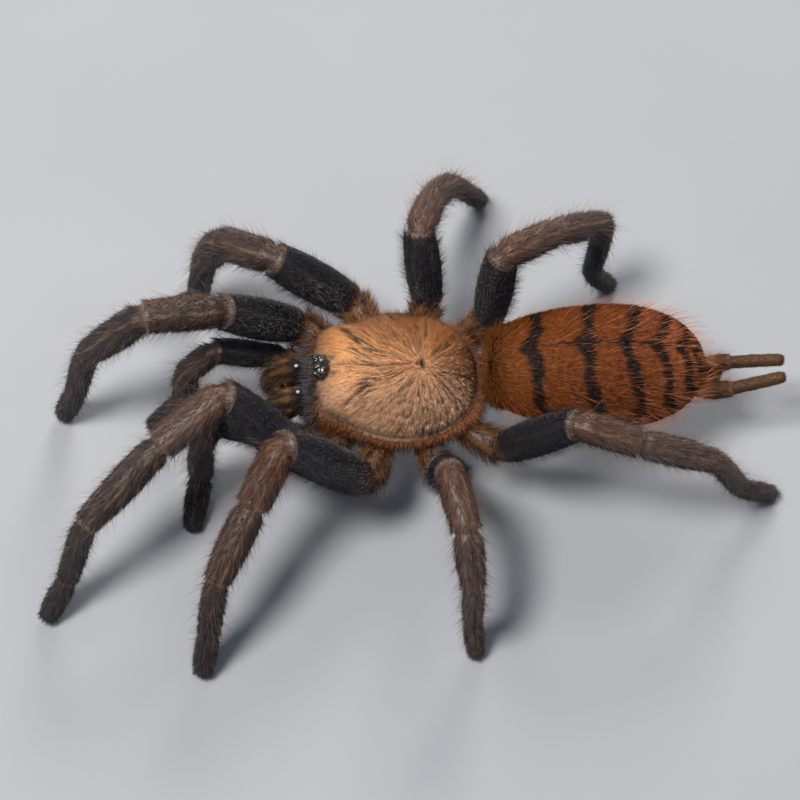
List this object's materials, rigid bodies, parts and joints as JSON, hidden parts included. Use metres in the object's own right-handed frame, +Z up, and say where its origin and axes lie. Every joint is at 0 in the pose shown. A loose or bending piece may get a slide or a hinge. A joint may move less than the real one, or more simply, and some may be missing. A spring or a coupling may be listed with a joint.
{
  "type": "tarantula",
  "caption": "Still life-size tarantula standing on its feet, with golden carapace, dark velvety legs, banded rust abdomen and long spinnerets.",
  "frame": {"origin": "on the floor, under the middle of the object's bounding box", "axes": "+Z up, the head points to -X, the animal's left side is at -Y"},
  "size_m": [0.0694, 0.0486, 0.0228],
  "materials": {
    "carapace_coat": "short golden pile combed out from the middle pit",
    "eyes": "glossy black lenses",
    "dark_plate": "dark brown velvety plate",
    "fawn_coat": "golden brown fuzz",
    "fang_horn": "polished black horn",
    "abdomen_coat": "rust coloured velvet with black chevrons and long setae",
    "spinneret_skin": "dark brown matt skin with fine fuzz",
    "black_coat": "black velvet with a blue sheen",
    "brown_coat": "brown velvet with pale lines and long setae"
  },
  "bodies": {
    "root": {"carapace": "carapace_coat", "eye_tubercle": "eyes", "sternum": "dark_plate", "pedicel": "dark_plate", "chelicera_l": "fawn_coat", "chelicera_r": "fawn_coat", "fang_l": "fang_horn", "fang_r": "fang_horn", "abdomen": "abdomen_coat", "spinneret_l": "spinneret_skin", "spinneret_r": "spinneret_skin", "palp_coxa_l": "fawn_coat", "palp_femur_l": "black_coat", "palp_shin_l": "brown_coat", "palp_tip_l": "brown_coat", "palp_coxa_r": "fawn_coat", "palp_femur_r": "black_coat", "palp_shin_r": "brown_coat", "palp_tip_r": "brown_coat", "coxa_l1": "fawn_coat", "femur_l1": "black_coat", "patella_l1": "brown_coat", "tibia_l1": "brown_coat", "foot_l1": "brown_coat", "coxa_r1": "fawn_coat", "femur_r1": "black_coat", "patella_r1": "brown_coat", "tibia_r1": "brown_coat", "foot_r1": "brown_coat", "coxa_l2": "fawn_coat", "femur_l2": "black_coat", "patella_l2": "brown_coat", "tibia_l2": "brown_coat", "foot_l2": "brown_coat", "coxa_r2": "fawn_coat", "femur_r2": "black_coat", "patella_r2": "brown_coat", "tibia_r2": "brown_coat", "foot_r2": "brown_coat", "coxa_l3": "fawn_coat", "femur_l3": "black_coat", "patella_l3": "brown_coat", "tibia_l3": "brown_coat", "foot_l3": "brown_coat", "coxa_r3": "fawn_coat", "femur_r3": "black_coat", "patella_r3": "brown_coat", "tibia_r3": "brown_coat", "foot_r3": "brown_coat", "coxa_l4": "fawn_coat", "femur_l4": "black_coat", "patella_l4": "brown_coat", "tibia_l4": "brown_coat", "foot_l4": "brown_coat", "coxa_r4": "fawn_coat", "femur_r4": "black_coat", "patella_r4": "brown_coat", "tibia_r4": "brown_coat", "foot_r4": "brown_coat"}
  },
  "joints": []
}
